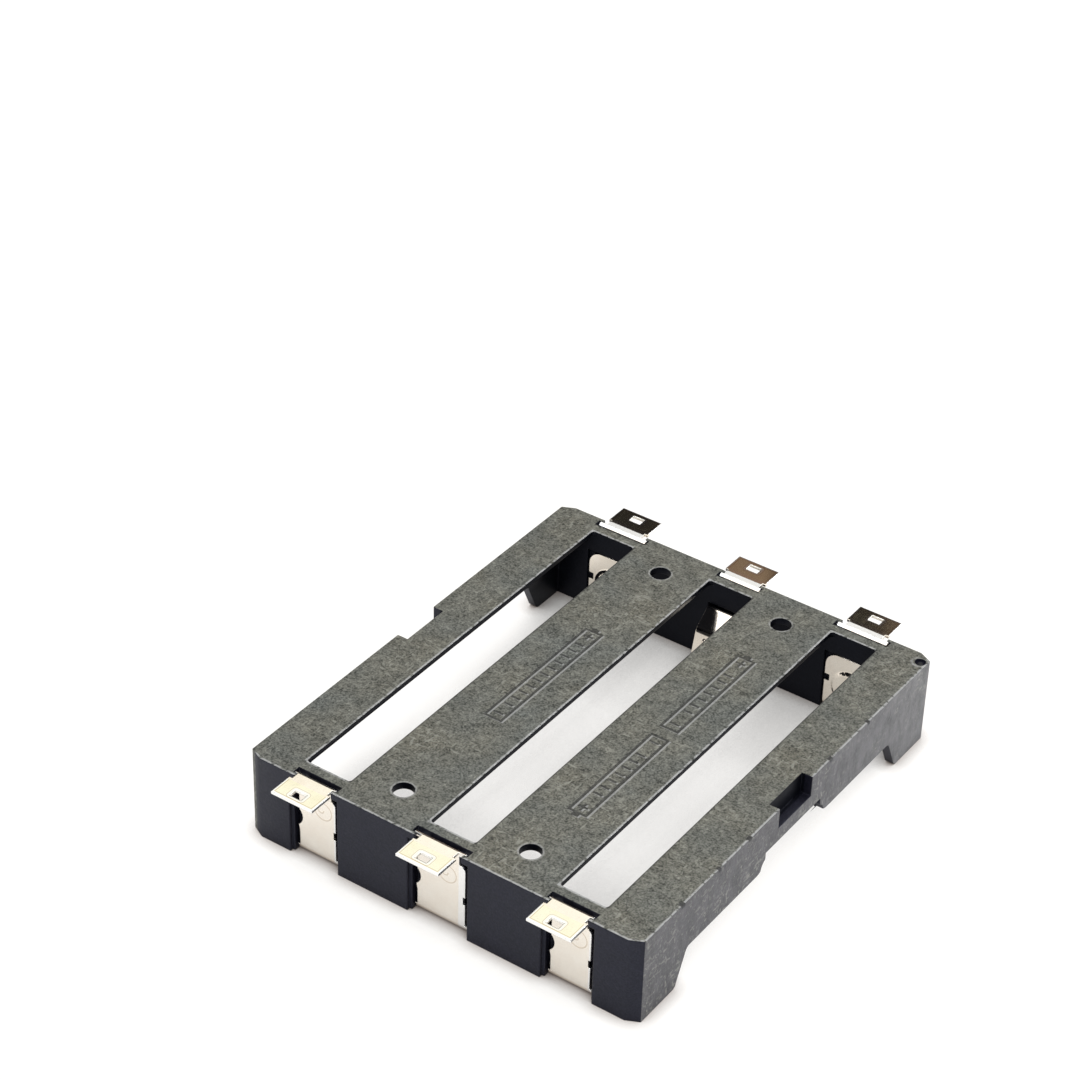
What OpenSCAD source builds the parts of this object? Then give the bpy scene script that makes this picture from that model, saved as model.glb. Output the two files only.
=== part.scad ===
// Holder for three cylindrical cells side by side, to be soldered and screwed to a board.
// X runs across the slots, Y along the cells and Z up.
// The holder lies on its open rim at z = 0, with its solder face on top.

/* [Cells] */
// Diameter of one cell
cell_d = 21; // [20:0.1:22]
// Length of one cell
cell_l = 70; // [60:0.5:80]
// Radial clearance between a cell and its trough
trough_gap = 0.3; // [0.2:0.05:0.5]
// Distance between the axes of neighbouring slots
pitch = 23.1; // [22.8:0.1:26]
// Length of the bay beyond the cell, taken up by its two contacts
contact_room = 5.4; // [5:0.1:7]

/* [Frame] */
// Thickness of the side walls beside the outer troughs
side_wall = 1.6; // [1.2:0.1:3]
// Thickness of the end walls
end_wall = 3.8; // [3.6:0.1:5]
// Height of the cell axes above the open rim
axis_h = 4.5; // [4:0.1:6]
// Depth of the cells under the solder face
cell_cover = 0.4; // [0.3:0.1:1.5]
// Thickness of the flat plates at the ends of the strips
plate_t = 1.3; // [0.9:0.1:2]
// Size of the vertical corner chamfers across the slots
corner_x = 2.2; // [1:0.1:3]
// Size of the vertical corner chamfers along the cells
corner_y = 1.1; // [0.5:0.1:1.8]
// Width of the window over each slot
window_w = 8.2; // [6:0.1:10]
// Corner radius of the windows
window_r = 0.5; // [0.2:0.1:1.5]

/* [Ridges between the slots] */
// Height of the ridge crests above the open rim
crest_h = 5.9; // [5:0.1:8]
// Length of the straight part of a crest
crest_l = 26.2; // [20:0.2:34]
// Radius of the rounded ridge ends
ridge_r = 10.2; // [8:0.1:11]

/* [Side walls] */
// Length of a corner foot on the rim, from the end face
foot_l = 9.8; // [8:0.1:14]
// Run of the slanted end of a foot
foot_slant = 2.8; // [1:0.1:5]
// Height of the low edge between the feet
low_h = 6; // [5:0.1:7]
// Radius of the bends in the side wall's edge
edge_r = 1; // [0.5:0.1:1.2]
// Length of the finger cut in the outer skin
finger_l = 15.6; // [12:0.1:20]
// Height of the finger cut's edge above the open rim
finger_h = 9.1; // [8.6:0.1:10]
// Radius of the finger cut's lower corners
finger_r = 2.3; // [1:0.1:2.8]
// Thickness of the outer skin that the finger cut goes through
finger_skin = 1.35; // [0.8:0.05:1.5]
// Length of the arch in the inner lip behind the finger cut
arch_l = 18; // [16:0.1:24]
// Height of the arch above the open rim
arch_h = 8.1; // [7.4:0.1:8.5]
// Length of the notch at the solder face
notch_l = 9.3; // [6:0.1:14]
// Depth of the notch into the side
notch_in = 1.9; // [1:0.1:2.4]
// Depth of the notch under the solder face
notch_down = 3.7; // [2:0.1:5]

/* [Screw holes and gate mark] */
// Diameter of the screw holes
hole_d = 3.4; // [2:0.1:4.5]
// Distance of the screw holes from the end faces
hole_end = 7.1; // [6.6:0.1:10]
// Diameter of the round recess round the gate stub
gate_recess_d = 1.8; // [1.4:0.1:2]
// Depth of the round recess
gate_recess_h = 0.6; // [0.5:0.05:1]
// Diameter of the gate stub
gate_stub_d = 0.9; // [0.5:0.1:1.1]
// Distance of the top of the stub below the solder face
gate_stub_drop = 0.3; // [0.05:0.05:0.4]
// Distance of the gate stub from the side face
gate_x = 1.15; // [1.1:0.05:2]
// Distance of the gate stub from the end face
gate_y = 2.2; // [2.1:0.1:3.5]

/* [Contact channels] */
// Depth of the channels in the end faces
channel_d = 2; // [1.8:0.05:2.2]
// Depth of the recess behind the inner leaves
recess_d = 0.7; // [0.6:0.05:0.8]
// Clearance between a leg and the bottom of its channel
leg_gap = 0.5; // [0.3:0.05:0.7]
// Side clearance between a loop and the slot that it passes through
loop_side_gap = 0.25; // [0.2:0.05:0.4]
// Extra width of a channel on each side at the end face
channel_step = 0.45; // [0.2:0.05:0.7]
// Depth of the wide part of a channel, and of the nubs in it
lip_d = 0.6; // [0.4:0.05:0.65]
// Height of the nubs beside a contact's root
nub_h = 1.2; // [0.8:0.1:1.8]
// Clearance between the nubs and the root of a spring contact
spring_nub_gap = 0.1; // [0.05:0.05:0.3]
// Clearance between the nubs and the root of a ring contact
ring_nub_gap = 0.9; // [0.5:0.05:1.1]
// Clearance above a leaf's top in its recess
leaf_top_gap = 0.3; // [0.2:0.05:0.6]
// Height of the web's rim above the centre of the loops
web_rim_gap = 0.1; // [0.05:0.05:0.5]

/* [Contact strip] */
// Thickness of the contact strip
sheet_t = 0.5; // [0.4:0.05:0.55]
// Length of the solder tabs beyond the end faces
tab_out = 4.9; // [3:0.1:7]
// Width of the solder tabs
tab_w = 7.7; // [7:0.1:8.5]
// Width of the hole in a tab
tab_hole_w = 2.1; // [1:0.1:3]
// Length of the hole in a tab
tab_hole_l = 1.5; // [1:0.1:2]
// Distance of the hole's centre from the tab's outer edge
tab_hole_in = 1.7; // [1.4:0.1:2.2]
// Width of a tab's root
root_w = 6.6; // [5.6:0.1:6.8]
// Reach of the root beyond the end face
root_out = 0.6; // [0.3:0.1:1]
// Inner radius of the fold between tab and leg
fold_r = 0.3; // [0.2:0.05:0.35]
// Height of the straight stretch under the fold
wing_h = 0.3; // [0.2:0.05:0.6]
// Height of the neck under the wings
neck_h = 1.7; // [1:0.1:2.2]
// Corner radius of a leg's shoulders
shoulder_r = 1; // [0.4:0.1:1.4]
// Gap between the loops and the surface that the rim stands on
loop_rise = 0.1; // [0.05:0.05:0.15]
// Height of the bite in a leg's edge above the rim, at its middle
bite_h = 6.8; // [6:0.1:7.4]
// Length of the bite
bite_l = 2.8; // [2:0.1:3]
// Depth of the bite
bite_in = 0.6; // [0.3:0.05:0.9]
// Reach of the barb below the bite
barb_out = 0.25; // [0.1:0.05:0.3]
// Length of the barb below the bite
barb_l = 1.3; // [0.8:0.1:1.6]
// Depth of the small notch in a leg's other edge
nick_in = 0.4; // [0.2:0.05:0.6]
// Length of the small notch
nick_l = 1.4; // [0.8:0.1:2]
// Height of the small notch's middle above the rim
nick_h = 6.1; // [5:0.1:7]

/* [Ring contact] */
// Width of a ring contact's wings
ring_wing_w = 9.2; // [8.8:0.1:9.7]
// Width of a ring contact's neck
ring_neck_w = 6.4; // [5.8:0.1:8]
// Width of a ring contact's leg
ring_leg_w = 8.7; // [8.2:0.1:9.2]
// Width of a ring contact's loop and leaf
ring_loop_w = 9.5; // [9.3:0.1:10]
// Height of a ring contact's leaf above the rim
ring_leaf_h = 11.1; // [10.8:0.1:12]
// Corner radius of the leaf's top
ring_leaf_r = 2.4; // [1:0.1:3]
// Length of the notches in the leaf's sides
ring_notch_l = 1.2; // [0.8:0.1:1.6]
// Depth of the notches in the leaf's sides
ring_notch_in = 0.9; // [0.4:0.05:1]
// Height of the side notches above the boss centre
ring_notch_up = 0.7; // [0.5:0.1:1.2]
// Diameter of the boss at its foot
boss_d = 7.2; // [6.6:0.1:7.4]
// Diameter of the boss's flat top
boss_top_d = 5.2; // [4:0.1:5.8]
// Height of the boss
boss_h = 0.55; // [0.4:0.05:0.6]
// Height of the boss centre above the cell axis
boss_up = 0.9; // [0:0.1:1.2]

/* [Spring contact] */
// Width of a spring contact's wings
spring_wing_w = 7.6; // [7.2:0.1:7.8]
// Width of a spring contact's neck
spring_neck_w = 5.4; // [4.6:0.1:6.2]
// Width of a spring contact's leg
spring_leg_w = 6.9; // [6.5:0.1:7.3]
// Width of a spring contact's loop, riser and contact plate
spring_loop_w = 7.7; // [7.5:0.1:8.2]
// Depth of the top of the turn under the solder face
turn_drop = 4.7; // [4:0.1:5.2]
// Inner radius of the turn
turn_r = 0.5; // [0.4:0.05:0.8]
// Angle of the slope from the vertical
slope_a = 49; // [44:1:54]
// Height of the knee above the cell axis
knee_up = 3.5; // [3:0.1:4]
// Inner radius of the knee
knee_r = 1.5; // [1:0.1:3]
// Angle of the contact plate from the vertical
plate_a = 14; // [10:1:18]
// Inner radius of the curl at the plate's free end
curl_r = 0.6; // [0.4:0.1:1]
// Angle of the curl
curl_a = 80; // [50:5:90]
// Height of the curl's end above the rim
curl_h = 0.35; // [0.2:0.05:1]
// Distance between neighbouring dimples
dimple_pitch = 1.9; // [1.5:0.1:2.2]
// Diameter of a dimple at its foot
dimple_d = 1; // [0.7:0.1:1.2]
// Height of a dimple
dimple_h = 0.2; // [0.1:0.05:0.3]

/* [Hidden] */
$fn = 64;
slots = [-1, 0, 1];
trough_r = cell_d / 2 + trough_gap;
bay_l = cell_l + contact_room;
frame_l = bay_l + 2 * end_wall;
frame_w = 2 * (pitch + trough_r + side_wall);
frame_h = axis_h + cell_d / 2 + cell_cover;
// Faces of a contact pocket, as distances from the middle of the holder
channel_y = frame_l / 2 - channel_d;
lip_y = frame_l / 2 - lip_d;
recess_y = bay_l / 2 + recess_d;
leg_y = channel_y + leg_gap;
loop_r = (leg_y - recess_y) / 2;
loop_h = loop_rise + sheet_t + loop_r;
web_rim_h = loop_h + web_rim_gap;
fold_y = leg_y + sheet_t + fold_r;
neck_top_h = frame_h - sheet_t - fold_r - wing_h;
leg_top_h = neck_top_h - neck_h;
turn_h = frame_h - turn_drop - sheet_t - turn_r;
knee_h = axis_h + knee_up;
// Centres of the spring's three bends, as [y, z] at the near end, and the lengths between them
slope_l = (turn_h + turn_r * sin(slope_a) - knee_h) / cos(slope_a);
turn_c = [-recess_y + sheet_t + turn_r, turn_h];
knee_c = turn_c + (turn_r - knee_r) * across(slope_a) + slope_l * along(slope_a);
curl_z = curl_h + (curl_r + sheet_t) * sin(curl_a - plate_a);
plate_l = (knee_c[1] + (knee_r - curl_r) * sin(plate_a) - curl_z) / cos(plate_a);
curl_c = knee_c + (knee_r - curl_r) * across(plate_a) + plate_l * along(plate_a);
dimple_l = (knee_c[1] + (knee_r + sheet_t) * sin(plate_a) - axis_h) / cos(plate_a);
bite_r = (pow(bite_l / 2, 2) + pow(bite_in, 2)) / (2 * bite_in);
past = 1;

// Kinds of contact at the near end, slot by slot; the far end is the near end turned round
function kind(slot, far) = (slot == 0) != far ? "ring" : "spring";
function wing_w(kind) = kind == "ring" ? ring_wing_w : spring_wing_w;
function neck_w(kind) = kind == "ring" ? ring_neck_w : spring_neck_w;
function leg_w(kind) = kind == "ring" ? ring_leg_w : spring_leg_w;
function loop_w(kind) = kind == "ring" ? ring_loop_w : spring_loop_w;
function nub_gap(kind) = kind == "ring" ? ring_nub_gap : spring_nub_gap;
function pocket_w(kind) = loop_w(kind) + 2 * loop_side_gap;
function leaf_top_h(kind) = kind == "ring" ? ring_leaf_h : frame_h - turn_drop;

// Directions in (y, z) on a leaf that leans by the angle a: across it towards the cell, and down along it
function across(a) = [cos(a), sin(a)];
function along(a) = [sin(a), -cos(a)];
// Points of an arc about c, from the angle a to b, about every 12 degrees
function arc(c, r, a, b) = let (n = ceil(abs(b - a) / 12)) [for (i = [0:n]) c + r * across(a + (b - a) * i / n)];

// Points of the round corner at b, between the edge that comes from a and the one that goes to c
function rounded(a, b, c, r) =
    let (u = (a - b) / norm(a - b), v = (c - b) / norm(c - b))
    let (half = acos(u * v) / 2, middle = b + (u + v) / norm(u + v) * r / sin(half))
    let (from = b + u * r / tan(half) - middle, left = cross(b - a, c - b) > 0, n = ceil((180 - 2 * half) / 12))
    [for (i = [0:n]) let (t = (left ? 1 : -1) * (180 - 2 * half) * i / n)
        middle + [from[0] * cos(t) - from[1] * sin(t), from[0] * sin(t) + from[1] * cos(t)]];
function backwards(list) = [for (i = [len(list) - 1:-1:0]) list[i]];

// A box that is centred in x
module wide_box(w, y, z) translate([-w / 2, y[0], z[0]]) cube([w, y[1] - y[0], z[1] - z[0]]);

// Turns a profile drawn in (y, z) into a prism along x
module along_x(from, to) translate([from, 0, 0]) rotate([90, 0, 90]) linear_extrude(to - from) children();

// Repeats its children in each slot at one end
module in_slot(slot, far) translate([slot * pitch, 0, 0]) rotate([0, 0, far ? 180 : 0]) children();

// Both mirror images of its children
module both_sides() { children(); mirror([1, 0, 0]) children(); }
module both_ends() { children(); mirror([0, 1, 0]) children(); }

module block() {
    x = frame_w / 2;
    y = frame_l / 2;
    linear_extrude(frame_h) polygon([
        [-x, -y + corner_y], [-x + corner_x, -y], [x - corner_x, -y], [x, -y + corner_y],
        [x, y - corner_y], [x - corner_x, y], [-x + corner_x, y], [-x, y - corner_y]]);
}

// Space of one cell: round above its axis and straight down to the rim
module trough() rotate([90, 0, 0]) linear_extrude(bay_l, center = true) {
    translate([0, axis_h]) circle(trough_r);
    translate([-trough_r, -past]) square([2 * trough_r, axis_h + past]);
}

module window() translate([0, 0, axis_h]) linear_extrude(frame_h) {
    square([window_w - 2 * window_r, bay_l], center = true);
    square([window_w, bay_l - 2 * window_r], center = true);
    for (x = [-1, 1], y = [-1, 1])
        translate([x * (window_w / 2 - window_r), y * (bay_l / 2 - window_r)]) circle(window_r);
}

// What is taken away between the slots: all but the ridges and the strips over them
module ridge_relief() along_x(-pitch, pitch) difference() {
    translate([-bay_l / 2, -past]) square([bay_l, frame_h - plate_t + past]);
    translate([-crest_l / 2, crest_h]) square([crest_l, frame_h]);
    for (y = [-1, 1]) translate([y * crest_l / 2, crest_h + ridge_r]) circle(ridge_r);
}

// Profile of the open edge of a side wall, between the feet, with round bends
module low_edge() {
    foot = [-frame_l / 2 + foot_l, 0];
    low = foot + [foot_slant, low_h];
    middle = [0, low_h];
    end = [-frame_l / 2, 0];
    bends = concat(rounded(end, foot, low, edge_r), rounded(foot, low, middle, edge_r));
    side = concat([[bends[0][0], -past]], bends);
    polygon(concat(side, [for (p = backwards(side)) [-p[0], p[1]]]));
}

// Profile of the finger cut, with a round lower corner at each end
module finger_cut() {
    half = finger_l / 2;
    difference() {
        translate([-half - finger_r, 0]) square([finger_l + 2 * finger_r, finger_h]);
        for (y = [-1, 1]) translate([y * (half + finger_r), low_h + finger_r]) {
            circle(finger_r);
            translate([-finger_r, 0]) square([2 * finger_r, frame_h]);
        }
    }
}

// Profile of the arch in the inner lip
module arch() {
    r = arch_h - low_h;
    translate([-arch_l / 2 + r, 0]) square([arch_l - 2 * r, arch_h]);
    translate([-arch_l / 2, 0]) square([arch_l, low_h]);
    for (y = [-1, 1]) translate([y * (arch_l / 2 - r), low_h]) circle(r);
}

module side_cuts() both_sides() {
    side = frame_w / 2;
    along_x(pitch, side + past) low_edge();
    along_x(side - finger_skin, side + past) finger_cut();
    along_x(pitch, side + past) arch();
    translate([side - notch_in, -notch_l / 2, frame_h - notch_down])
        cube([notch_in + past, notch_l, notch_down + past]);
}

// Channel, loop passage and leaf recess of one contact at the near end
module contact_pocket(kind) {
    w = pocket_w(kind);
    top = frame_h + past;
    difference() {
        union() {
            wide_box(w, [-lip_y, -channel_y], [-past, top]);
            wide_box(w + 2 * channel_step, [-frame_l / 2 - past, -lip_y], [-past, top]);
        }
        both_sides() translate([root_w / 2 + nub_gap(kind), -frame_l / 2, frame_h - nub_h])
            cube([w, lip_d, nub_h]);
    }
    wide_box(w, [-channel_y - past / 2, -bay_l / 2 + past], [-past, web_rim_h]);
    wide_box(w, [-recess_y, -bay_l / 2 + past], [-past, leaf_top_h(kind) + leaf_top_gap]);
}

module holder_frame() color([0.12, 0.125, 0.13]) {
    difference() {
        block();
        for (slot = slots) translate([slot * pitch, 0, 0]) {
            trough();
            window();
        }
        ridge_relief();
        side_cuts();
        for (slot = slots, far = [false, true]) in_slot(slot, far) contact_pocket(kind(slot, far));
        both_sides() both_ends() translate([pitch / 2, frame_l / 2 - hole_end, 0]) cylinder(h = frame_h + past, d = hole_d);
        gate() cylinder(h = gate_recess_h + past, d = gate_recess_d);
    }
    gate() cylinder(h = gate_recess_h - gate_stub_drop, d = gate_stub_d);
}

// Place of the gate mark's floor
module gate() translate([frame_w / 2 - gate_x, frame_l / 2 - gate_y, frame_h - gate_recess_h]) children();

// Folded strip: it runs along x, its width is along z and its thickness along y
module flat() translate([0, sheet_t, 0]) rotate([90, 0, 0]) linear_extrude(sheet_t) children();
module run(l, w) {
    flat() translate([0, -w / 2]) square([l, w]);
    translate([l, 0, 0]) children();
}

// A fold by the angle a, to the left if it is positive, with inner radius r
module fold(r, a, w) {
    left = a > 0;
    axis = left ? sheet_t + r : -r;
    translate([0, axis, 0]) {
        rotate([0, 0, left ? -90 : 90 + a]) rotate_extrude(angle = abs(a)) translate([r, -w / 2]) square([sheet_t, w]);
        rotate([0, 0, a]) translate([0, -axis, 0]) children();
    }
}

// Outline with two rounded corners at its start
module rounded_start(l, w, r) {
    translate([r, -w / 2]) square([l - r, w]);
    translate([0, -w / 2 + r]) square([l, w - 2 * r]);
    for (y = [-1, 1]) translate([r, y * (w / 2 - r)]) circle(r);
}

module tab_outline() difference() {
    translate([0, -tab_w / 2]) square([tab_out - root_out, tab_w]);
    translate([tab_hole_in, 0]) square([tab_hole_l, tab_hole_w], center = true);
}

// Leg outline from its shoulders down; the bite is in the left edge and the nick in the right one
module leg_outline(kind) {
    w = leg_w(kind);
    l = leg_top_h - loop_h;
    bite_x = leg_top_h - bite_h;
    barb_x = bite_x + bite_l / 2;
    difference() {
        union() {
            rounded_start(l, w, shoulder_r);
            polygon([[barb_x, -w / 2 + bite_in], [barb_x, -w / 2 - barb_out],
                     [barb_x + barb_l, -w / 2], [barb_x + barb_l, -w / 2 + bite_in]]);
        }
        translate([bite_x, -w / 2 + bite_in - bite_r]) circle(bite_r);
        translate([leg_top_h - nick_h - nick_l / 2, w / 2 - nick_in]) square([nick_l, nick_in + past]);
    }
}

// Tab, root, wings, neck, leg and loop; its children follow the loop
module strip(kind) translate([0, -frame_l / 2 - tab_out, frame_h - sheet_t]) rotate([90, 0, 90]) {
    flat() tab_outline();
    translate([tab_out - root_out, 0, 0])
        run(root_out + frame_l / 2 - fold_y, root_w)
            fold(fold_r, -90, wing_w(kind))
                run(wing_h, wing_w(kind))
                    run(neck_h, neck_w(kind)) {
                        flat() leg_outline(kind);
                        translate([leg_top_h - loop_h, 0, 0]) fold(loop_r, 180, loop_w(kind)) children();
                    }
}

module ring_contact() color([0.86, 0.82, 0.75]) {
    leaf_l = ring_leaf_h - loop_h;
    boss_x = axis_h + boss_up - loop_h;
    strip("ring") difference() {
        union() {
            flat() difference() {
                translate([leaf_l, 0]) mirror([1, 0]) rounded_start(leaf_l, ring_loop_w, ring_leaf_r);
                for (y = [-1, 1])
                    translate([boss_x + ring_notch_up, y * (ring_loop_w / 2 + past / 2 - ring_notch_in / 2)])
                        square([ring_notch_l, ring_notch_in + past], center = true);
            }
            translate([boss_x, 0, 0]) rotate([90, 0, 0]) cylinder(h = boss_h, d1 = boss_d, d2 = boss_top_d);
        }
        translate([boss_x, sheet_t, 0]) rotate([90, 0, 0])
            cylinder(h = boss_h, d1 = boss_d - 2 * sheet_t, d2 = boss_top_d - 2 * sheet_t);
    }
}

// Outline of the knee, contact plate and curl, and of the turn and slope over them
function plate_bends(r) = concat(arc(knee_c, knee_r + r, slope_a, plate_a), arc(curl_c, curl_r + r, plate_a, plate_a - curl_a));
function turn_bend(r) = arc(turn_c, turn_r + r, 180, slope_a);

module spring_contact() color([0.86, 0.82, 0.75]) difference() {
    union() {
        strip("spring") run(turn_h - loop_h, spring_loop_w);
        along_x(-spring_loop_w / 2, spring_loop_w / 2) polygon(concat(
            turn_bend(sheet_t), plate_bends(sheet_t), backwards(plate_bends(0)), backwards(turn_bend(0))));
        dimples(sheet_t / 2) cylinder(h = sheet_t / 2 + dimple_h, d1 = dimple_d + sheet_t, d2 = dimple_d / 2);
    }
    dimples(-past) cylinder(h = past + dimple_h, d1 = dimple_d, d2 = dimple_d / 4);
}

// Puts its children at the nine dimples, at a depth that counts from the back of the plate
module dimples(depth) for (i = [-1, 0, 1], k = [-1, 0, 1]) {
    c = knee_c + (knee_r + depth) * across(plate_a) + (dimple_l + i * dimple_pitch) * along(plate_a);
    translate([k * dimple_pitch, c[0], c[1]]) rotate([plate_a - 90, 0, 0]) children();
}

holder_frame();
in_slot(-1, false) spring_contact();  // near_spring_contact_1
in_slot(0, false) ring_contact();  // near_ring_contact_2
in_slot(1, false) spring_contact();  // near_spring_contact_3
in_slot(-1, true) ring_contact();  // far_ring_contact_1
in_slot(0, true) spring_contact();  // far_spring_contact_2
in_slot(1, true) ring_contact();  // far_ring_contact_3
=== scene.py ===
from math import cos, pi, radians, sin

import bpy
from mathutils import Matrix, Vector


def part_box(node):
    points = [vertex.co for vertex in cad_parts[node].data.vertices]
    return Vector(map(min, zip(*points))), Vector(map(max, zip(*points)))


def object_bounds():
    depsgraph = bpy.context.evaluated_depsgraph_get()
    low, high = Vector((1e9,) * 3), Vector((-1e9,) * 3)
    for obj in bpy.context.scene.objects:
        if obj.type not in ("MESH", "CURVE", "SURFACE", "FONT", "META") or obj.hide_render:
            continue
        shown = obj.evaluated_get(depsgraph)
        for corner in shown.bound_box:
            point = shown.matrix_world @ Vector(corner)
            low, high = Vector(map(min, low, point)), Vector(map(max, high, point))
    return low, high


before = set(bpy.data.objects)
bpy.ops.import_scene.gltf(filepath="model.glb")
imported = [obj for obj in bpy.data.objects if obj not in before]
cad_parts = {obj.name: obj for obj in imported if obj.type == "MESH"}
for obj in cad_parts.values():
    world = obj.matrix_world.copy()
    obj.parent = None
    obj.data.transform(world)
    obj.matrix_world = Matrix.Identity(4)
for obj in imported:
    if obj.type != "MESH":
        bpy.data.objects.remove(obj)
frame_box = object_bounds()

MM = 0.001

# The holder's outer faces and the ends of its tabs, in millimetres from its middle.
SIDE_FACE, END_FACE, SOLDER_FACE = (round(edge / MM, 3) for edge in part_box("holder_frame")[1])
TAB_END = round(frame_box[1][1] / MM, 3)

# Places on the moulding that its finish is drawn round.
SLOT_PITCH = 23.1
WINDOW_HALF = 4.1
BAY_HALF = 37.7
CORNER_CUT = 2.2
SCREW_HOLE_Y = 34.4
SCREW_HOLE_R = 1.7
MOULD_EDGE = 0.13
MOULD_EDGE_SHINE = 0.28

# The raised sign of a cell: its outline, its button, the plus and the minus, and the bars between them.
SIGN_HALF_WIDTH = 1.5
SIGN_LINE = 0.17
BODY_INSET = 0.4
BUTTON_HALF = (0.6, 0.4)
BUTTON_OUT = 0.1
CHARGE_INSET = 1.9
ARM_HALF = 0.85
STROKE_HALF = 0.19
BAR_PITCH = 1.9
BAR_HALF = (0.8, 0.2)
BARS_INSET = 4.2

# How far across the signs stand, and between which two places along the strip.
FIRST_SIGN = (-11.15, -13.0, 15.0)
SECOND_SIGNS = (11.95, 0.9, 23.6)

# Round marks of the mould on the solder face: middle and radius.
LARGE_PIN = ((31.9, -34.0), 3.3)
SMALL_PIN = ((14.05, -38.1), 2.2)
GATE_PIT = ((SIDE_FACE - 1.15, END_FACE - 2.2), 0.95)
GATE_RIM = ((SIDE_FACE - 1.35, END_FACE - 2.4), 1.1)

# Nicks along the outer edge of the solder face: place and half length.
EDGE_NICKS = ((21.2, 0.35), (10.0, 0.45), (-12.9, 0.5), (-21.2, 0.35), (-30.8, 0.5))

# Places on a contact strip, across its slot and out from the holder's middle.
TAB_HALF = 3.85
TAB_HOLE = (0.0, 44.7)
HOLE_FRAME_HALF = (1.6, 1.25)
HOLE_FRAME_CORNER = 0.6
LEG_HALF = 3.45
LEG_INNER = 39.8
LEG_OUTER = 40.6
BEND_INNER = 40.4
BEND_OUTER = 41.65
TAB_START = 42.5
STRIP_EDGE = 0.05
STRIP_EDGE_SHINE = 0.2
RING_MARK = ((1.15, 10.0), 1.6)
DIGIT_MARK = ((0.75, 10.1), 0.5)

# A face counts as turned to one side once its normal points that way by so much.
TURNED = (0.45, 0.75)

# How far round it the floor looks for the open room and for what touches it, in millimetres.
OPEN_REACH = 24.0
CONTACT_REACH = 2.5

# Where the brown patches stand on the backdrop, in metres.
WIDE_PATCH_X = -0.452
NARROW_PATCH_X = -0.375

# Colours of the plastic.
GREEN_BLACK = (0.008, 0.011, 0.008)
BROWN_BLACK = (0.012, 0.012, 0.007)
GREEN_GREY = (0.196, 0.204, 0.186)
SAND_GREY = (0.226, 0.216, 0.172)
SIDE_DARK = (0.052, 0.052, 0.058)
SIDE_GREY = (0.150, 0.147, 0.158)
# Painted light: the long sides grow lighter towards the far end.
SIDE_PAINTED_LIGHT = (0.26, 0.258, 0.262)
FIBRE_GREY = (0.30, 0.30, 0.26)
# Painted highlights on edges and on the gate rim, and painted shade on marks, unlit edges, the gate pit and
# the nicks.
EDGE_HIGHLIGHT = (0.44, 0.44, 0.44)
GATE_RIM_HIGHLIGHT = (0.40, 0.40, 0.40)
SHADE_DARK = (0.012, 0.012, 0.012)
PIT_SHADE_DARK = (0.008, 0.008, 0.010)
SATIN_DARK = (0.0050, 0.0050, 0.0090)
SATIN_BLUE = (0.0170, 0.0165, 0.0270)
SATIN_FLECK = (0.05, 0.05, 0.06)
# Painted shade inside the troughs and holes.
TROUGH_SHADE_DARK = (0.0030, 0.0033, 0.0055)
TROUGH_SHADE_BLUE = (0.0055, 0.0060, 0.0095)
COOL_SHINE = (0.72, 0.78, 1.0, 1.0)

# Colours of the nickel.
TAB_CREAM = (0.98, 0.95, 0.77)
TAB_STRAW = (0.96, 0.90, 0.69)
STRIP_CREAM = (1.0, 0.935, 0.83)
STRIP_STRAW = (0.96, 0.87, 0.75)
SPECKLE_TAN = (0.74, 0.67, 0.58)
# Painted highlights on the rims and bends of the strip.
HIGHLIGHT_WHITE = (1.0, 0.99, 0.97)
LINE_BROWN = (0.50, 0.34, 0.17)
# Painted shade at the foot of each leg, where it mirrors the dark floor.
FOOT_SHADE_BROWN = (0.34, 0.22, 0.15)

# Colours of the studio.
FLOOR_GREY = (0.86, 0.86, 0.86, 1.0)
FLOOR_SHADE = (0.10, 0.10, 0.10, 1.0)
# Painted contact shadow where things touch the floor.
FLOOR_CONTACT_SHADOW = (0.20, 0.13, 0.09)
FLOOR_WHITE = (1.0, 0.985, 0.965)
BACKDROP_DARK = (0.020, 0.018, 0.017)
BACKDROP_BROWN = (0.26, 0.18, 0.135)
ROOM_LIGHT = (0.9, 0.93, 1.0, 1.0)


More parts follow.
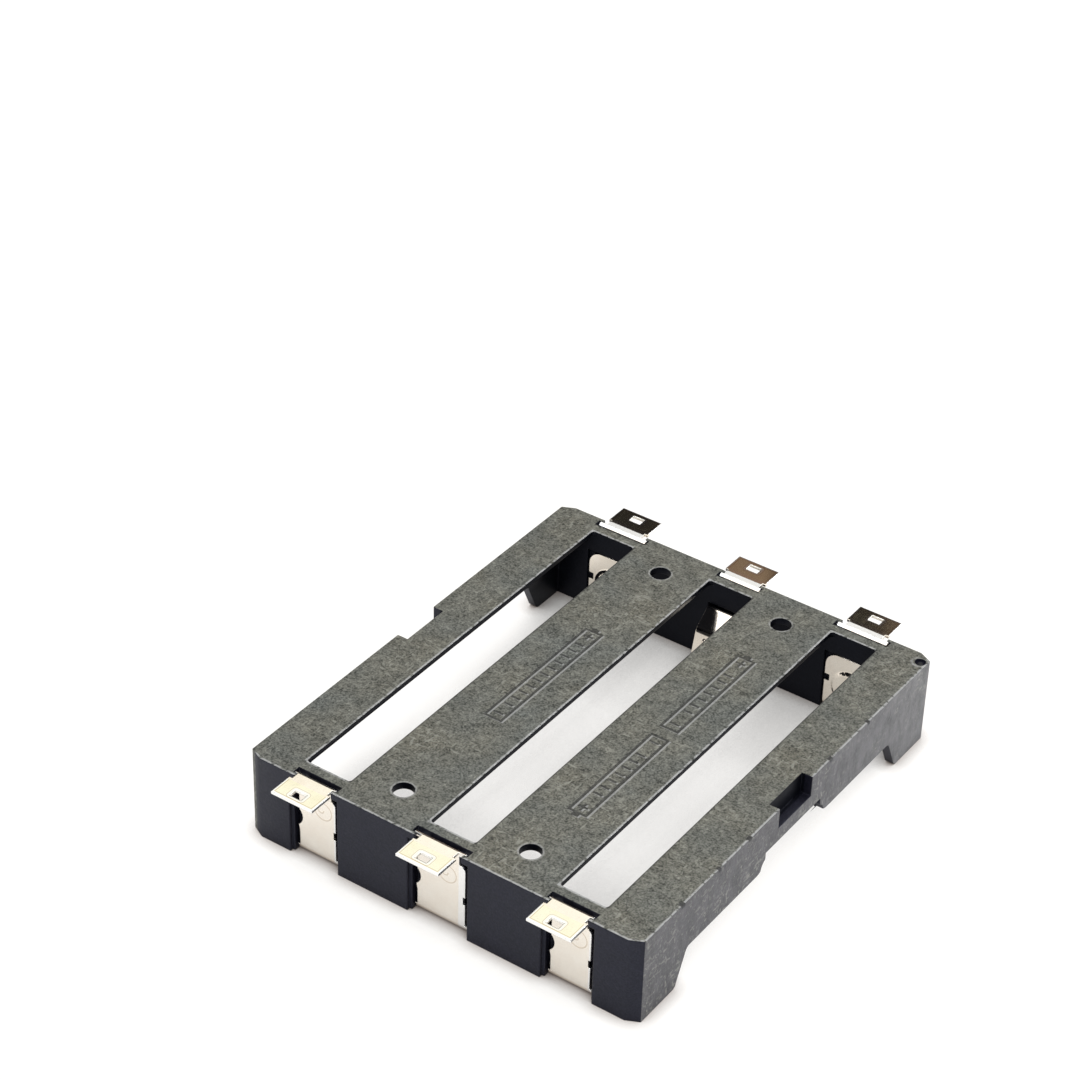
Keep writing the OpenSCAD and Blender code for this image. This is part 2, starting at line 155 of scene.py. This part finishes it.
class Reading:
    """A socket in a finish. Arithmetic on it adds the Math nodes that work it out."""

    def __init__(self, finish, socket):
        self.finish = finish
        self.socket = socket

    def worked(self, operation, *parts, clamp=False):
        settings = {"operation": operation, "use_clamp": clamp}
        return self.finish.add("ShaderNodeMath", settings, dict(enumerate(parts)))

    def __add__(self, other):
        return self.worked("ADD", self, other)

    def __radd__(self, other):
        return self.worked("ADD", other, self)

    def __sub__(self, other):
        return self.worked("SUBTRACT", self, other)

    def __rsub__(self, other):
        return self.worked("SUBTRACT", other, self)

    def __mul__(self, other):
        return self.worked("MULTIPLY", self, other)

    def __rmul__(self, other):
        return self.worked("MULTIPLY", other, self)

    def __truediv__(self, other):
        return self.worked("DIVIDE", self, other)

    def __pow__(self, other):
        return self.worked("POWER", self, other)

    def size(self):
        return self.worked("ABSOLUTE", self)

    def at_least(self, other):
        return self.worked("MAXIMUM", self, other)

    def kept_in(self):
        """Keeps it from 0 to 1."""
        return self.worked("ADD", self, 0.0, clamp=True)

    def sharper(self, gain):
        """Spreads noise about its middle, and keeps it from 0 to 1."""
        return self.worked("MULTIPLY_ADD", self, gain, 0.5 - 0.5 * gain, clamp=True)

    def nearest(self, step):
        """How far this is from the nearest multiple of a step."""
        return self - self.worked("ROUND", self / step) * step

    def rise(self, low, high):
        """Goes smoothly from 0 at low to 1 at high."""
        sockets = {0: self, 1: low, 2: high, 3: 0.0, 4: 1.0}
        return self.finish.add("ShaderNodeMapRange", {"interpolation_type": "SMOOTHSTEP"}, sockets)

    def fall(self, low, high):
        """Goes smoothly from 1 at low to 0 at high."""
        sockets = {0: self, 1: low, 2: high, 3: 1.0, 4: 0.0}
        return self.finish.add("ShaderNodeMapRange", {"interpolation_type": "SMOOTHSTEP"}, sockets)


class Finish:
    """The material of one kind of surface, and the nodes that draw it."""

    def __init__(self, name):
        self.material = bpy.data.materials.new(name)
        self.material.use_nodes = True
        self.tree = self.material.node_tree
        self.tree.nodes.clear()

    def add(self, kind, settings=None, sockets=None, out=0):
        """Adds a node: its settings first, then the values or links of its sockets."""
        node = self.tree.nodes.new(kind)
        for name, value in (settings or {}).items():
            setattr(node, name, value)
        for name, value in (sockets or {}).items():
            if isinstance(value, Reading):
                self.tree.links.new(value.socket, node.inputs[name])
            elif value is not None:
                node.inputs[name].default_value = value
        return Reading(self, node.outputs[out]) if len(node.outputs) else node

    def other(self, reading, name):
        """Another output of the node that a reading comes from."""
        return Reading(self, reading.socket.node.outputs[name])

    def place(self):
        """The place on the object as a vector in metres, and as three numbers in millimetres."""
        spot = self.add("ShaderNodeTexCoord", out="Object")
        scaled = self.times(spot, 1 / MM)
        split = self.add("ShaderNodeSeparateXYZ", None, {0: scaled})
        return spot, split, self.other(split, "Y"), self.other(split, "Z")

    def facing(self):
        """Which way the surface faces, as three numbers."""
        normal = self.add("ShaderNodeNewGeometry", out="Normal")
        split = self.add("ShaderNodeSeparateXYZ", None, {0: normal})
        return split, self.other(split, "Y"), self.other(split, "Z")

    def grain(self, spot, per_metre, detail=2.0, roughness=0.5, stretch=None):
        """Soft noise with so many features in a metre, stretched along an axis where asked."""
        if stretch:
            spot = self.add("ShaderNodeVectorMath", {"operation": "MULTIPLY"}, {0: spot, 1: stretch})
        sockets = {"Vector": spot, "Scale": per_metre, "Detail": detail, "Roughness": roughness}
        return self.add("ShaderNodeTexNoise", {"noise_dimensions": "3D"}, sockets)

    def times(self, colour, amount):
        """A colour or a vector, made larger or smaller by one number."""
        return self.add("ShaderNodeVectorMath", {"operation": "SCALE"}, {0: colour, "Scale": amount})

    def blended(self, mask, colour_a, colour_b):
        """Goes from one colour to another as the mask goes from 0 to 1."""
        opaque = [(*colour, 1.0) if isinstance(colour, tuple) else colour for colour in (colour_a, colour_b)]
        sockets = {0: mask, 6: opaque[0], 7: opaque[1]}
        return self.add("ShaderNodeMix", {"data_type": "RGBA"}, sockets, out=2)

    def raised(self, height, smooth, strength):
        """A bump with its height in millimetres, on a surface that is smoothed first."""
        sockets = {"Height": height, "Distance": MM, "Strength": strength, "Normal": smooth}
        return self.add("ShaderNodeBump", None, sockets)

    def rounded(self, radius):
        """The way the surface faces when its edges are rounded by so many millimetres."""
        return self.add("ShaderNodeBevel", {"samples": 6}, {"Radius": radius * MM})

    def openness(self, reach, samples):
        """How open the surface lies, where things count that are within so many millimetres of it."""
        settings, sockets = {"samples": samples}, {"Distance": reach * MM}
        return self.add("ShaderNodeAmbientOcclusion", settings, sockets, out="AO")

    def shader(self, **sockets):
        named = {name.replace("_", " "): value for name, value in sockets.items()}
        return self.add("ShaderNodeBsdfPrincipled", None, named)

    def either(self, mask, surface_a, surface_b):
        """One surface where the mask is 0, and another where it is 1."""
        return self.add("ShaderNodeMixShader", None, {0: mask, 1: surface_a, 2: surface_b})

    def closed(self, surface):
        self.add("ShaderNodeOutputMaterial", None, {"Surface": surface})
        return self.material


def box_edge(u, v, middle, half):
    """How far a point is outside a rectangle; it is negative inside."""
    return ((u - middle[0]).size() - half[0]).at_least((v - middle[1]).size() - half[1])


def round_box_edge(u, v, middle, half, radius):
    """How far a point is outside a rectangle with round corners."""
    over_u = ((u - middle[0]).size() - (half[0] - radius)).at_least(0.0)
    over_v = ((v - middle[1]).size() - (half[1] - radius)).at_least(0.0)
    return (over_u ** 2.0 + over_v ** 2.0) ** 0.5 - radius


def ring_edge(u, v, middle, radius):
    """How far a point is outside a circle."""
    return ((u - middle[0]) ** 2.0 + (v - middle[1]) ** 2.0) ** 0.5 - radius


def outline_edge(x, y):
    """How far a point is outside the holder's outline, whose corners are cut twice as far across as along."""
    u = x.size() - SIDE_FACE
    v = y.size() - END_FACE
    corner = (u + v * 2.0 + CORNER_CUT) / 5.0 ** 0.5
    return u.at_least(v).at_least(corner)


def line(edge, half_width, soft=0.1):
    """A line along an edge."""
    return edge.size().fall(half_width, half_width + soft)


def fill(edge, soft=0.1):
    """What lies inside an edge."""
    return edge.fall(-soft / 2, soft / 2)


def cell_sign(u, v, across, low, high):
    """The outline of a cell with its button at the high end, a plus and a minus, and bars between them."""
    middle = (low + high) / 2
    half = (high - low) / 2
    plus = (across, high - CHARGE_INSET)
    minus = (across, low + CHARGE_INSET)
    body = line(box_edge(u, v, (across, middle), (SIGN_HALF_WIDTH, half - BODY_INSET)), SIGN_LINE)
    button = fill(box_edge(u, v, (across, high + BUTTON_OUT), BUTTON_HALF))
    upright = fill(box_edge(u, v, plus, (STROKE_HALF, ARM_HALF)))
    crossing = fill(box_edge(u, v, plus, (ARM_HALF, STROKE_HALF)))
    dash = fill(box_edge(u, v, minus, (ARM_HALF, STROKE_HALF)))
    bars = fill((v - middle).nearest(BAR_PITCH).size() - BAR_HALF[1])
    bars = bars * fill(box_edge(u, v, (across, middle), (BAR_HALF[0], half - BARS_INSET)))
    return body.at_least(button).at_least(upright).at_least(crossing).at_least(dash).at_least(bars)


def cell_signs(x, y):
    """One cell on the first strip, and two on the second that point away from each other."""
    return cell_sign(x, y, *FIRST_SIGN).at_least(cell_sign(x, y.size(), *SECOND_SIGNS))


def edge_nicks(x, y, z):
    """Nicks along the outer edge of the solder face, at the places where the moulding has them."""
    nicks = None
    for place, half in EDGE_NICKS:
        nick = fill((y - place).size() - half, soft=0.2)
        nicks = nick if nicks is None else nicks.at_least(nick)
    return nicks * x.rise(SIDE_FACE - 0.75, SIDE_FACE - 0.4) * z.rise(SOLDER_FACE - 0.8, SOLDER_FACE - 0.2)


def window_edge(x, y):
    """Where a point lies across its slot, and how far it is outside that slot's window."""
    in_slot = x.nearest(SLOT_PITCH)
    return in_slot, box_edge(in_slot, y, (0.0, 0.0), (WINDOW_HALF, BAY_HALF))


def painted_edge_highlights(x, y, nicks):
    """Where painted highlights lie on the rounded edges of windows, screw holes and outline that face the
    light.
    """
    in_slot, window = window_edge(x, y)
    hole = ring_edge(x.size() - SLOT_PITCH / 2, y.size(), (0.0, SCREW_HOLE_Y), SCREW_HOLE_R)
    near_end = y.fall(0.6 - END_FACE, 0.9 - END_FACE)
    right_side = x.rise(SIDE_FACE - 0.9, SIDE_FACE - 0.6)
    windows = window.fall(0.22, 0.42) * in_slot.fall(WINDOW_HALF - 0.2, WINDOW_HALF - 0.1)
    holes = hole.fall(0.2, 0.4) * 0.5
    outline = outline_edge(x, y).rise(-0.42, -0.22) * near_end.at_least(right_side) * (1 - nicks)
    return windows.at_least(holes).at_least(outline)


def painted_edge_shade(x, y):
    """Where painted shade lies on the rounded edges of the windows that the light doesn't reach."""
    in_slot, window = window_edge(x, y)
    return window.fall(0.12, 0.3) * in_slot.rise(WINDOW_HALF - 0.15, WINDOW_HALF - 0.05)


def moulded_plastic():
    """Black glass-filled plastic: sparked grain with light fibre ends outside, smooth inside, with painted
    shade deep in the troughs and holes, and painted highlights and shade on edges and marks.
    """
    finish = Finish("moulded_plastic")
    spot, x, y, z = finish.place()
    nx, _, nz = finish.facing()

    # The solder face, the long sides and the cut corners at the left are sparked.
    top = z.rise(SOLDER_FACE - 0.4, SOLDER_FACE - 0.25) * nz.rise(*TURNED)
    side = x.size().rise(SIDE_FACE - 0.6, SIDE_FACE - 0.4) * nx.size().rise(*TURNED)
    corner_ends = y.size().rise(END_FACE - 1.3, END_FACE - 1.1)
    corner_width = x.fall(CORNER_CUT - SIDE_FACE, CORNER_CUT - SIDE_FACE + 0.1)
    left_corner = corner_width * nx.fall(-0.4, -0.3) * corner_ends
    grained = top.at_least(side).at_least(left_corner)

    cloud = finish.grain(spot, per_metre=70, detail=3.0, roughness=0.6).sharper(3.0)
    patch = finish.grain(spot, per_metre=320, detail=3.0, roughness=0.65).sharper(2.6)
    mottle = finish.grain(spot, per_metre=1250, roughness=0.6).sharper(2.6)
    grit = finish.grain(spot, per_metre=3000, roughness=0.6).sharper(3.0)
    fleck = finish.grain(spot, per_metre=2300, roughness=0.6)
    fibre_along = finish.grain(spot, per_metre=1900, detail=1.0, stretch=(1.0, 0.35, 1.0))
    fibre_across = finish.grain(spot, per_metre=1900, detail=1.0, stretch=(0.35, 1.0, 0.6))
    flow = finish.grain(spot, per_metre=480, detail=4.0, roughness=0.66, stretch=(1.0, 1.0, 0.5)).sharper(2.8)

    # Each sign is a raised line painted dark as painted shade, with a painted highlight beside it on its
    # raised edge.
    signs = cell_signs(x, y) * top
    sign_highlight = cell_signs(x - 0.34, y + 0.1) * (1 - signs) * top

    large_pin = ring_edge(x, y, *LARGE_PIN)
    small_pin = ring_edge(x, y, *SMALL_PIN)
    pins = fill(large_pin, soft=0.12).at_least(fill(small_pin, soft=0.12)) * top
    pin_lines = line(large_pin, 0.05).at_least(line(small_pin, 0.05)) * top * mottle.rise(0.1, 0.6)

    pit = fill(ring_edge(x, y, *GATE_PIT) + patch * 0.3) * z.rise(SOLDER_FACE - 1.4, SOLDER_FACE - 1.0)
    pit_rim = line(ring_edge(x, y, *GATE_RIM), 0.1, soft=0.2) * top * (1 - pit) * mottle

    nicks = edge_nicks(x, y, z)
    edge_highlight = painted_edge_highlights(x, y, nicks) * top * mottle.rise(0.05, 0.5)
    edge_shade = painted_edge_shade(x, y) * top

    # Ends of glass fibre and fibres that lie flat show light in the grain.
    ends = fleck.rise(0.58, 0.70) * patch.rise(0.3, 0.85)
    fibres = fibre_along.rise(0.60, 0.72).at_least(fibre_across.rise(0.60, 0.72)) * cloud.rise(0.2, 0.9)
    light = (ends + fibres * 0.8).kept_in()

    dark = finish.blended(cloud, GREEN_BLACK, BROWN_BLACK)
    pale = finish.blended(cloud, GREEN_GREY, SAND_GREY)
    body = finish.blended((grit * 0.52 + mottle * 0.32 + patch * 0.16).sharper(1.3), dark, pale)

    # The long sides are cooler, with marks of the flow, and painted light that grows towards the far end.
    far_painted_light = y.rise(-5.0, 40.0) * (flow * 0.5 + 0.20)
    side_body = finish.blended(grit * 0.40 + flow * 0.60, SIDE_DARK, SIDE_GREY)
    side_body = finish.blended(far_painted_light, side_body, SIDE_PAINTED_LIGHT)
    body = finish.blended(side, body, side_body)

    body = finish.blended(light * 0.75, body, FIBRE_GREY)
    # Painted highlights on the edges that face the light and beside the signs.
    body = finish.blended((edge_highlight * 0.8).at_least(sign_highlight * 0.5), body, EDGE_HIGHLIGHT)
    # Painted shade on the signs, the pin rings and the window edges that the light doesn't reach.
    body = finish.blended((signs * 0.72 + pin_lines * 0.5 + edge_shade * 0.7).kept_in(), body, SHADE_DARK)
    # Painted highlight on the rim of the gate pit.
    body = finish.blended(pit_rim * 0.7, body, GATE_RIM_HIGHLIGHT)
    # Painted shade in the gate pit and in the nicks.
    body = finish.blended(pit.at_least(nicks * 0.8), body, PIT_SHADE_DARK)

    edge = finish.rounded(MOULD_EDGE_SHINE)
    relief = grit * 0.028 + mottle * 0.034 + patch * 0.03 - signs * 0.20 - pins * 0.05 - nicks * 0.2
    face = finish.raised(relief, edge, strength=0.8)
    rough = finish.shader(Base_Color=body, Roughness=0.55 - light * 0.15, Normal=face, Specular_IOR_Level=0.6)

    # The end faces are satin. Inside the troughs and holes the plastic is painted darker, as painted shade.
    satin_body = finish.blended(grit * 0.6 + patch * 0.4, SATIN_DARK, SATIN_BLUE)
    satin_body = finish.blended(fleck.rise(0.66, 0.74) * 0.2, satin_body, SATIN_FLECK)
    wall = finish.raised(grit * 0.016 + patch * 0.02, edge, strength=0.6)
    satin = finish.shader(
        Base_Color=satin_body,
        Roughness=0.36 + patch * 0.10,
        Normal=wall,
        Specular_IOR_Level=0.30,
        Specular_Tint=COOL_SHINE,
    )
    inside = y.size().fall(END_FACE - 3.1, END_FACE - 2.7) * x.size().fall(SIDE_FACE - 1.5, SIDE_FACE - 1.2)
    painted_shade_inside = finish.shader(
        Base_Color=finish.blended(patch, TROUGH_SHADE_DARK, TROUGH_SHADE_BLUE),
        Roughness=0.42,
        Normal=wall,
        Specular_IOR_Level=0.14,
        Specular_Tint=COOL_SHINE,
    )
    return finish.closed(finish.either(grained, finish.either(inside, satin, painted_shade_inside), rough))


def plated_strip():
    """Nickel-plated strip: warm bright metal with faint rolling lines, painted highlights on rims and bends,
    painted shade at the feet, and pressed marks.
    """
    finish = Finish("nickel_plated_strip")
    spot, x, y, z = finish.place()
    nx, ny, nz = finish.facing()
    lines = finish.grain(spot, per_metre=900, roughness=0.6, stretch=(3.0, 0.25, 0.25))
    speckle = finish.grain(spot, per_metre=4200, detail=3.0, roughness=0.7)
    cloud = finish.grain(spot, per_metre=350, detail=3.0, roughness=0.6).sharper(2.2)

    # Across its slot, counted the same way round at both ends, and out from the middle.
    across = x.nearest(SLOT_PITCH) * (1 - y.rise(-1.0, 1.0) * 2)
    out = y.size()

    # A fine line runs round each tab inside its rim, which has a painted highlight, and another round the
    # frame of its hole.
    tab = out.rise(TAB_START, TAB_START + 0.2)
    tab_edge = (across.size() - TAB_HALF).at_least(out - TAB_END)
    tab_rim = tab_edge.rise(-0.34, -0.26) * tab
    tab_line = line(tab_edge + 0.42, 0.04, soft=0.08) * tab
    hole_edge = round_box_edge(across, out, TAB_HOLE, HOLE_FRAME_HALF, HOLE_FRAME_CORNER)
    hole_frame = fill(hole_edge, soft=0.3) * tab
    hole_line = line(hole_edge, 0.03, soft=0.07) * tab

    # A ring and a digit's hook are pressed into each leg.
    leg = out.rise(LEG_INNER, LEG_INNER + 0.1) * out.fall(LEG_OUTER, LEG_OUTER + 0.1)
    ring = line(ring_edge(across, z, *RING_MARK), 0.05, soft=0.12) * leg
    hook = line(ring_edge(across, z, *DIGIT_MARK), 0.07) * leg
    digit = hook * z.fall(DIGIT_MARK[0][1], DIGIT_MARK[0][1] + 0.15)
    stamped = (ring + digit).kept_in()
    leg_rim = (LEG_HALF - across).fall(0.2, 0.4) * leg
    leg_foot_shade = z.fall(0.5, 1.5) * out.rise(39.0, 39.5) * nz.fall(0.2, 0.6)

    # The cut edges of the strip are rough, and so is the outside of the bend under each tab, which also has a
    # painted highlight.
    # The flat roots at the near end are left out of the bend and stay bright.
    cut = nx.size().rise(0.7, 0.9).at_least(tab * ny.size().rise(0.7, 0.9))
    near_root = y.fall(-1.0, 1.0) * nz.rise(0.85, 0.97)
    bend = out.rise(BEND_INNER, BEND_INNER + 0.2) * out.fall(BEND_OUTER, BEND_OUTER + 0.2)
    bend = bend * nz.rise(-0.2, 0.3) * (1 - near_root)

    # Painted highlights on the tab rims, the hole frames, the leg rims and the bends.
    painted_highlight = tab_rim.at_least(hole_frame * 0.8).at_least(leg_rim).at_least(bend)
    thin_lines = (tab_line * 0.6 + hole_line * 0.6 + stamped * 0.5).kept_in()
    tab_colour = finish.blended(cloud, TAB_CREAM, TAB_STRAW)
    strip_colour = finish.blended(cloud, STRIP_CREAM, STRIP_STRAW)
    colour = finish.blended(tab, strip_colour, tab_colour)
    colour = finish.blended(speckle.rise(0.54, 0.72) * 0.4, colour, SPECKLE_TAN)
    colour = finish.blended(painted_highlight, colour, HIGHLIGHT_WHITE)
    colour = finish.blended(thin_lines * 0.7, colour, LINE_BROWN)
    # Painted shade: the foot of each leg turns brown, for the dark floor it mirrors.
    colour = finish.blended(leg_foot_shade * 0.35, colour, FOOT_SHADE_BROWN)
    dull = 0.035 + lines * 0.04 + cloud * 0.04 + cut * 0.34 + bend * 0.3
    relief = lines * 0.0012 + speckle * 0.0012 + stamped * 0.02
    face = finish.raised(relief, finish.rounded(STRIP_EDGE_SHINE), strength=0.6)
    metal = finish.shader(Base_Color=colour, Metallic=1 - bend * 0.5, Roughness=dull, Normal=face)
    return finish.closed(metal)


def pale_floor():
    """The table: pale, white to the camera and in the metal where it lies open to the room, with painted
    shade and a brown painted contact shadow elsewhere.
    """
    finish = Finish("pale_floor")
    path = finish.add("ShaderNodeLightPath", out="Is Camera Ray")
    seen = (path + finish.other(path, "Is Glossy Ray")).kept_in()
    open_sky = finish.openness(OPEN_REACH, samples=12)
    close = finish.openness(CONTACT_REACH, samples=3)
    # Painted shade: the glow falls where the room is hidden, and turns brown close to what touches the floor.
    in_view = (open_sky * 1.95 - 0.08).kept_in()
    in_metal = open_sky * 0.86 + 0.21
    glow = in_view * path + in_metal * (1 - path)
    shadow_tint = finish.blended(close, FLOOR_CONTACT_SHADOW, FLOOR_WHITE)
    plain = finish.add("ShaderNodeBsdfDiffuse", None, {"Color": FLOOR_GREY})
    shaded = finish.add("ShaderNodeBsdfDiffuse", None, {"Color": FLOOR_SHADE})
    light = finish.add("ShaderNodeEmission", None, {"Color": finish.times(shadow_tint, glow)})
    bright = finish.add("ShaderNodeAddShader", None, {0: shaded, 1: light})
    return finish.closed(finish.either(seen, plain, bright))


def dark_backdrop():
    """Painted reflection: a glowing sheet that the bright metal mirrors low behind the holder, dark, with two
    brown patches.
    """
    finish = Finish("dark_backdrop")
    spot = finish.add("ShaderNodeTexCoord", out="Object")
    across = finish.add("ShaderNodeSeparateXYZ", None, {0: spot})
    patch = finish.grain(spot, per_metre=55.0, detail=3.0, roughness=0.6).sharper(2.5)
    wide_patch = (across - WIDE_PATCH_X).size().fall(0.015, 0.032)
    narrow_patch = (across - NARROW_PATCH_X).size().fall(0.0, 0.02) * 0.6
    brown = wide_patch.at_least(narrow_patch) * (patch * 0.8 + 0.35)
    colour = finish.blended(brown, BACKDROP_DARK, BACKDROP_BROWN)
    return finish.closed(finish.add("ShaderNodeEmission", None, {"Color": colour}))


def soften(piece, width, measure):
    """Rounds a piece's sharp edges by a hair, as a mould or a press leaves them."""
    weld = piece.modifiers.new("weld", "WELD")
    weld.merge_threshold = 1e-7
    flats = piece.modifiers.new("flats", "DECIMATE")
    flats.decimate_type = "DISSOLVE"
    flats.angle_limit = radians(0.5)
    bevel = piece.modifiers.new("edges", "BEVEL")
    bevel.width = width
    bevel.offset_type = measure
    bevel.segments = 2
    bevel.limit_method = "ANGLE"
    bevel.angle_limit = radians(40)
    bevel.use_clamp_overlap = False
    bevel.harden_normals = False
    shade = piece.modifiers.new("shading", "WEIGHTED_NORMAL")
    shade.weight = 50
    shade.keep_sharp = False


def dress(piece, material, width, measure):
    """Gives a piece its finish and its rounded edges."""
    piece.data.materials.clear()
    piece.data.materials.append(material)
    for face in piece.data.polygons:
        face.use_smooth = True
    soften(piece, width, measure)


plastic = moulded_plastic()
nickel = plated_strip()
for name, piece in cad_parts.items():
    if name == "holder_frame":
        dress(piece, plastic, MOULD_EDGE * MM, "WIDTH")
    else:
        dress(piece, nickel, STRIP_EDGE * MM, "OFFSET")


def sheet_of(name, corners, material):
    """A flat four-cornered sheet that belongs to the studio."""
    mesh = bpy.data.meshes.new(name)
    mesh.from_pydata(corners, [], [(0, 1, 2, 3)])
    mesh.materials.append(material)
    sheet = bpy.data.objects.new(name, mesh)
    bpy.context.scene.collection.objects.link(sheet)
    return sheet


# The table reaches three metres each way, and the holder lies in its middle.
reach = 3.0
sheet_of(
    "table_top",
    [(-reach, -reach, 0), (reach, -reach, 0), (reach, reach, 0), (-reach, reach, 0)],
    pale_floor(),
)

# Only reflections show the dark backdrop, which stands under the pale screen.
left_x, left_y = -1.35, 0.30
right_x, right_y = 0.25, 1.26
foot, head = 0.05, 0.80
backdrop = sheet_of(
    "backdrop",
    [(left_x, left_y, foot), (right_x, right_y, foot), (right_x, right_y, head), (left_x, left_y, head)],
    dark_backdrop(),
)
backdrop.visible_camera = False
backdrop.visible_diffuse = False
backdrop.visible_shadow = False


def soft_box(name, bearing, height, distance, width, depth, brightness, colour):
    """A lamp that faces the holder and gives its face one brightness. Its place is given by two angles."""
    lamp = bpy.data.lights.new(name, "AREA")
    lamp.shape = "RECTANGLE"
    lamp.size = width
    lamp.size_y = depth
    lamp.energy = brightness * pi * width * depth
    lamp.color = colour
    box = bpy.data.objects.new(name, lamp)
    turn, lift = radians(bearing), radians(height)
    place = Vector((cos(turn) * cos(lift), sin(turn) * cos(lift), sin(lift))) * distance
    box.matrix_world = Matrix.Translation(place) @ (-place).to_track_quat("-Z", "Y").to_matrix().to_4x4()
    bpy.context.scene.collection.objects.link(box)


# Plain soft studio light: a large box high up, a pale screen under it, and boxes at the right and in front.
soft_box("box_above", bearing=121, height=72, distance=1.2, width=1.4, depth=0.72,
         brightness=1.7, colour=(1.0, 0.99, 0.94))
soft_box("pale_screen", bearing=124, height=46.5, distance=1.2, width=2.0, depth=0.36,
         brightness=0.72, colour=(1.0, 0.98, 0.86))
soft_box("box_right", bearing=53, height=17, distance=0.36, width=0.16, depth=0.12,
         brightness=6.6, colour=(0.98, 0.98, 1.0))
soft_box("box_front", bearing=-128, height=47, distance=1.3, width=0.55, depth=0.7,
         brightness=1.5, colour=(0.97, 0.98, 1.0))
soft_box("box_near", bearing=-52, height=60, distance=0.34, width=0.16, depth=0.16,
         brightness=5.0, colour=(1.0, 1.0, 0.96))

world = bpy.data.worlds.new("studio")
bpy.context.scene.world = world
world.use_nodes = True
room = world.node_tree.nodes["Background"]
room.inputs["Color"].default_value = ROOM_LIGHT
room.inputs["Strength"].default_value = 0.38

# The camera stands where the photograph was taken from.
camera_data = bpy.data.cameras.new("camera")
camera_data.lens = 101.23
camera_data.sensor_width = 36.0
camera_data.shift_x = -0.0389
camera_data.shift_y = -0.0229
camera = bpy.data.objects.new("camera", camera_data)
bpy.context.scene.collection.objects.link(camera)
stand = Vector((0.1998, -0.3094, 0.3040))
aim = Vector((-0.0436, 0.0590, 0.0))
look = (aim - stand).to_track_quat("-Z", "Y").to_matrix().to_4x4()
roll = Matrix.Rotation(radians(2.25), 4, "Z")
camera.matrix_world = Matrix.Translation(stand) @ look @ roll
bpy.context.scene.camera = camera
bpy.context.scene.view_settings.view_transform = "Standard"
